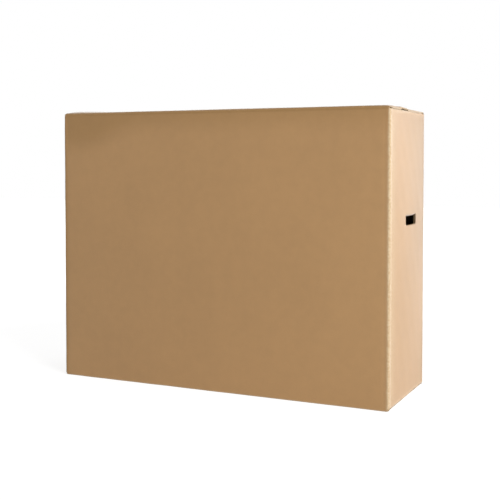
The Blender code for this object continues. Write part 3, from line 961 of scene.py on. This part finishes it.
def shade(colour, factor):
    """A linear colour made lighter or darker."""
    return tuple(min(1.0, c * factor) for c in colour[:3]) + (1.0,)


def noise(tree, place, scale, detail, roughness=0.5):
    return add(tree, "TexNoise", {0: place, 2: scale, 3: detail, 4: roughness}).outputs[0]


def object_place(tree):
    return add(tree, "TexCoord").outputs["Object"]


def new_material(name):
    material = bpy.data.materials.new(name)
    material.use_nodes = True
    tree = material.node_tree
    return material, tree, next(n for n in tree.nodes if n.type == "BSDF_PRINCIPLED")


def surface(tree, shader, colour, roughness, height, strength, distance):
    """Links a surface's finish, with its relief as a bump whose distance is in metres."""
    bump = add(tree, "Bump", {"Strength": strength, "Distance": distance, "Height": height})
    links = {"Base Color": colour, "Roughness": roughness, "Normal": bump.outputs[0]}
    for name, value in links.items():
        tree.links.new(value, shader.inputs[name])


def kraft_liner(name, base, rub_and_highlight_colour, contrast, sheen):
    """Kraft liner from the paper machine: long brown fibres laid mostly one way, which give it
    fine streaks and flecks, a cloudy formation, and a matt face with a soft sheen at a slant.
    The flutes show through as faint ridges. Rubbed folds are paler and rougher, and the same pale
    colour paints highlights beside some folds and cut ends. Where the third number of the sheet
    attribute is below zero, painted shade darkens the paper."""
    material, tree, shader = new_material(name)
    # The last colour is the painted shade's, multiplied in where the sheet's third number is below zero
    pale, dark, painted_shade_colour = shade(base, 1.20), shade(base, 0.78), (0.70, 0.67, 0.50, 1.0)
    sheet = add(tree, "Attribute", attribute_name="sheet")
    across, along, rub = add(tree, "SeparateXYZ", {0: sheet.outputs["Vector"]}).outputs
    flat = add(tree, "CombineXYZ", {0: across, 1: along}).outputs[0]
    place = object_place(tree)

    def stretched(scales, detail):
        return noise(tree, add(tree, "Mapping", {0: flat, 3: scales}).outputs[0], 1.0, detail, 0.6)

    # Fibres 2 to 4 mm long and far finer across, drawn 0.7 mm wide so that they show at all
    fibre = stretched((260.0, 1400.0, 1.0), 3.0)
    # Shives: flecks of bark and coarse fibre about 1 mm long
    fleck = stretched((420.0, 900.0, 1.0), 1.0)
    # Cloudy formation of the sheet at 12 to 60 mm, and slow changes over a third of a metre
    cloud = noise(tree, place, 26.0, 4.0, 0.6)
    slow = noise(tree, place, 3.2, 2.0, 0.6)
    colour = base
    for pattern, start, full, most, tint in (
        (cloud, 0.35, 0.65, 0.5 * contrast, dark),
        (slow, 0.35, 0.65, 0.4 * contrast, pale),
        (fibre, 0.50, 0.70, 0.7 * contrast, pale),
        (fibre, 0.50, 0.32, 0.7 * contrast, dark),
        (fleck, 0.68, 0.75, 0.5, shade(base, 0.45)),
        (fleck, 0.31, 0.26, 0.25, shade(base, 1.5)),
    ):
        colour = mixed(tree, ramp(tree, pattern, start, full, 0.0, most), colour, tint)

    # Rubbed folds, whose top fibres lift and turn paler, and painted highlights beside some folds and cut
    # ends: paler, most in patches of a few millimetres
    scuff = ramp(tree, noise(tree, place, 140.0, 4.0, 0.6), 0.36, 0.66, 0.4, 1.0)
    rubbed = ramp(tree, rub, 0.0, 1.0)
    scuffed_and_highlit = math_node(tree, "MULTIPLY", scuff, rubbed)
    colour = mixed(tree, ramp(tree, scuffed_and_highlit, 0.0, 1.0, 0.0, 0.65), colour, rub_and_highlight_colour)
    # Painted shade: darker where the sheet's third number is below zero
    colour = mixed(tree, ramp(tree, rub, 0.0, -1.5), colour, painted_shade_colour, "MULTIPLY")

    # The outer flutes raise the liner by a few hundredths of a millimetre, less where it is bent
    pitch = bpy.context.scene.carton_board.outer_pitch
    ridge = math_node(tree, "MULTIPLY", across, 2 * math.pi / pitch)
    fade = ramp(tree, rubbed, 0.05, 0.5, 0.2, 0.0)
    ridge = math_node(tree, "MULTIPLY", math_node(tree, "SINE", ridge), fade)
    for part, amount in ((fibre, 0.55), (cloud, 0.9), (scuffed_and_highlit, 0.8)):
        ridge = math_node(tree, "MULTIPLY_ADD", part, amount, ridge)
    roughness = ramp(tree, fibre, 0.3, 0.7, 0.60, 0.74)
    surface(tree, shader, colour, roughness, ridge, strength=0.55, distance=0.00016)
    shader.inputs["IOR"].default_value = 1.48
    shader.inputs["Sheen Weight"].default_value = sheen
    shader.inputs["Sheen Roughness"].default_value = 0.45
    return material


def raw_paper(name, base, scale):
    """Cut or unglazed paper: short torn fibres with no gloss, speckled at under a millimetre."""
    material, tree, shader = new_material(name)
    place, dark = object_place(tree), shade(base, 0.72)
    grain = noise(tree, place, scale, 3.0, 0.7)
    colour = mixed(tree, ramp(tree, grain, 0.35, 0.65), base, dark)
    colour = mixed(tree, ramp(tree, noise(tree, place, 45.0, 2.0), 0.35, 0.7, 0.0, 0.35), colour, dark)
    roughness = ramp(tree, grain, 0.3, 0.7, 0.82, 0.94)
    surface(tree, shader, colour, roughness, grain, strength=0.5, distance=0.0002)
    return material


def drawn_wire(name, base):
    """Drawn and zinc-coated flat steel wire: bright grey with dull spots under a millimetre."""
    material, tree, shader = new_material(name)
    spots = noise(tree, object_place(tree), 700.0, 2.0)
    colour = mixed(tree, ramp(tree, spots, 0.4, 0.65), base, shade(base, 0.72))
    roughness = ramp(tree, spots, 0.35, 0.7, 0.30, 0.50)
    surface(tree, shader, colour, roughness, spots, strength=0.2, distance=0.00005)
    shader.inputs["Metallic"].default_value = 1.0
    return material


def board_materials():
    """The board's four finishes, made once, in the order of OUTSIDE, INSIDE, CUT and MEDIUM: a
    liner with its colour for rubbed folds and painted highlights, contrast and sheen, or raw paper with its
    grain per metre."""
    colours = bpy.context.scene.carton_colours
    # The pale colour of rubbed folds, which also paints highlights
    rub_and_highlight_colour = tuple(colours.rubbed)
    finishes = (
        (kraft_liner, "kraft_liner_machine_finished", colours.outer, rub_and_highlight_colour, 0.5, 0.35),
        (kraft_liner, "kraft_liner_rough_side", colours.inner, rub_and_highlight_colour, 0.8, 0.15),
        (raw_paper, "slotter_cut_paper_edge", colours.cut, 900.0),
        (raw_paper, "semichemical_fluting_medium", colours.fluting, 600.0),
    )
    return [
        bpy.data.materials.get(name) or make(name, tuple(colour), *rest)
        for make, name, colour, *rest in finishes
    ]


class CARTON_OT_walls(bpy.types.Operator):
    """Builds the four walls and the stitched tab"""

    bl_idname = "carton.walls"
    bl_label = "Walls and tab"

    def execute(self, context):
        for name in ("front", "back"):
            long_wall(name)
        for name in ("right", "left"):
            end_wall(name)
        stitched_tab()
        return {"FINISHED"}


class CARTON_OT_flaps(bpy.types.Operator):
    """Builds the eight flaps and the folds that join them to the walls"""

    bl_idname = "carton.flaps"
    bl_label = "Flaps and folds"

    def execute(self, context):
        for word in ("top", "bottom"):
            for where in ("front", "back", "left", "right"):
                Flap(word, where).build()
        flap_folds()
        return {"FINISHED"}


class CARTON_OT_hand_holes(bpy.types.Operator):
    """Builds the flaps of the hand holes and the board that bends at their creases"""

    bl_idname = "carton.hand_holes"
    bl_label = "Hand-hole flaps"

    def execute(self, context):
        for side, where in ((1, "right"), (-1, "left")):
            hole_crease(side, where, hole_flap(side, where))
        return {"FINISHED"}


class CARTON_OT_wire(bpy.types.Operator):
    """Builds the stitches of the joint and the staples of the bottom"""

    bl_idname = "carton.wire"
    bl_label = "Stitches and staples"

    def execute(self, context):
        wire = drawn_wire("stitching_wire_drawn_and_zinc_coated", tuple(context.scene.carton_colours.wire))
        stitches = sorted(name for name in frame["nodes"] if name.startswith("joint_stitch"))
        staples = sorted(name for name in frame["nodes"] if name.startswith("bottom_staple"))
        slant = math.sqrt(0.5)
        along, across = (slant, 0, slant), (-slant, 0, slant)
        wire_loops("joint_stitches", stitches, along, across, (0, -1, 0), -HALF_WIDTH, wire)
        wire_loops("bottom_staples", staples, (1, 0, 0), (0, 1, 0), (0, 0, 1), 0.0, wire)
        return {"FINISHED"}


class CARTON_OT_stage(bpy.types.Operator):
    """Builds the pale floor, the lights and the camera"""

    bl_idname = "carton.stage"
    bl_label = "Stage"

    def execute(self, context):
        scene = context.scene
        scene.view_settings.view_transform = "Standard"
        self.camera(scene)
        self.floor(scene, tuple(scene.carton_colours.floor))
        scene.world = self.studio(fill=0.34)
        self.lamp(scene, "key", place=(9.3, -5.5, 2.9), size=4.0, power=1290.0)
        self.lamp(scene, "rim", place=(4.6, 7.75, 0.7), size=5.0, power=640.0)
        return {"FINISHED"}

    def camera(self, scene):
        """A long lens at four fifths of the carton's height. Its shift keeps uprights nearly so."""
        camera = bpy.data.objects.new("camera", bpy.data.cameras.new("camera"))
        camera.data.lens, camera.data.sensor_width = 66.71, 36.0
        camera.data.shift_y = -0.11
        camera.location = (1.5765, -3.2805, 0.8578)
        camera.rotation_euler = tuple(math.radians(turn) for turn in (90 - 2.03, -0.024, 25.06))
        scene.collection.objects.link(camera)
        scene.camera = camera

    def floor(self, scene, base):
        """A painted floor just under the carton. Seen by the camera it is nearly white by itself,
        and wholly so beyond 3.5 m, and other light meets its own colour."""
        far, level, seen_colour = 14.0, -0.0004, (0.30, 0.30, 0.30, 1)
        mesh = bpy.data.meshes.new("floor")
        corners = [(x * far, y * far, level) for x, y in ((-1, -1), (1, -1), (1, 1), (-1, 1))]
        mesh.from_pydata(corners, [], [(0, 1, 2, 3)])
        floor = bpy.data.objects.new("floor", mesh)
        scene.collection.objects.link(floor)
        material, tree, shader = new_material("painted_studio_floor")
        shader.inputs["Roughness"].default_value = 0.9
        shader.inputs["Emission Color"].default_value = (1, 1, 1, 1)
        seen = self.seen(tree)
        away = add(tree, "VectorMath", {0: object_place(tree)}, operation="LENGTH").outputs["Value"]
        glow = math_node(tree, "MULTIPLY", seen, ramp(tree, away, 1.6, 3.5, 0.82, 1.0))
        tree.links.new(mixed(tree, seen, base, seen_colour), shader.inputs["Base Color"])
        tree.links.new(glow, shader.inputs["Emission Strength"])
        mesh.materials.append(material)

    def studio(self, fill):
        """A world that is white to the camera and lights the rest at the fill's strength."""
        world = bpy.data.worlds.new("studio")
        world.use_nodes = True
        tree = world.node_tree
        tree.nodes.clear()
        strength = ramp(tree, self.seen(tree), 0.0, 1.0, fill, 1.0)
        sky = add(tree, "Background", {0: (1, 1, 1, 1), 1: strength}).outputs[0]
        add(tree, "OutputWorld", {0: sky})
        return world

    def seen(self, tree):
        """1 for what the camera sees, straight or by gloss or glass, and 0 for other light."""
        ray = add(tree, "LightPath").outputs
        total = ray["Is Camera Ray"]
        for name in ("Is Glossy Ray", "Is Transmission Ray"):
            total = math_node(tree, "MAXIMUM", total, ray[name])
        return total

    def lamp(self, scene, name, place, size, power):
        """A square soft box that faces the carton's middle."""
        data = bpy.data.lights.new(name, "AREA")
        data.shape, data.size, data.energy = "SQUARE", size, power
        lamp = bpy.data.objects.new(name, data)
        lamp.location = place
        middle = (0.0, 0.0, 0.5)
        x, y, z = (a - b for a, b in zip(middle, place))
        tilt, yaw = math.atan2(z, math.hypot(x, y)), math.atan2(y, x)
        lamp.rotation_euler = (math.pi / 2 + tilt, 0, yaw - math.pi / 2)
        lamp.visible_camera = False
        scene.collection.objects.link(lamp)


class CARTON_PT_panel(bpy.types.Panel):
    """Lists the carton's settings and operators"""

    bl_idname = "CARTON_PT_panel"
    bl_label = "Carton"
    bl_space_type = "VIEW_3D"
    bl_region_type = "UI"
    bl_category = "Carton"

    def draw(self, context):
        for settings in (context.scene.carton_board, context.scene.carton_colours):
            for name in type(settings).__annotations__:
                self.layout.prop(settings, name)
        for operator in OPERATORS:
            self.layout.operator(operator.bl_idname)


OPERATORS = (CARTON_OT_walls, CARTON_OT_flaps, CARTON_OT_hand_holes, CARTON_OT_wire, CARTON_OT_stage)
CLASSES = (CARTON_PG_board, CARTON_PG_colours, *OPERATORS, CARTON_PT_panel)


def register():
    for item in CLASSES:
        bpy.utils.register_class(item)
    bpy.types.Scene.carton_board = PointerProperty(type=CARTON_PG_board)
    bpy.types.Scene.carton_colours = PointerProperty(type=CARTON_PG_colours)


def unregister():
    del bpy.types.Scene.carton_board, bpy.types.Scene.carton_colours
    for item in reversed(CLASSES):
        bpy.utils.unregister_class(item)


def main():
    register()
    bpy.ops.carton.walls()
    bpy.ops.carton.flaps()
    bpy.ops.carton.hand_holes()
    bpy.ops.carton.wire()
    bpy.ops.carton.stage()


if __name__ == "__main__":
    main()
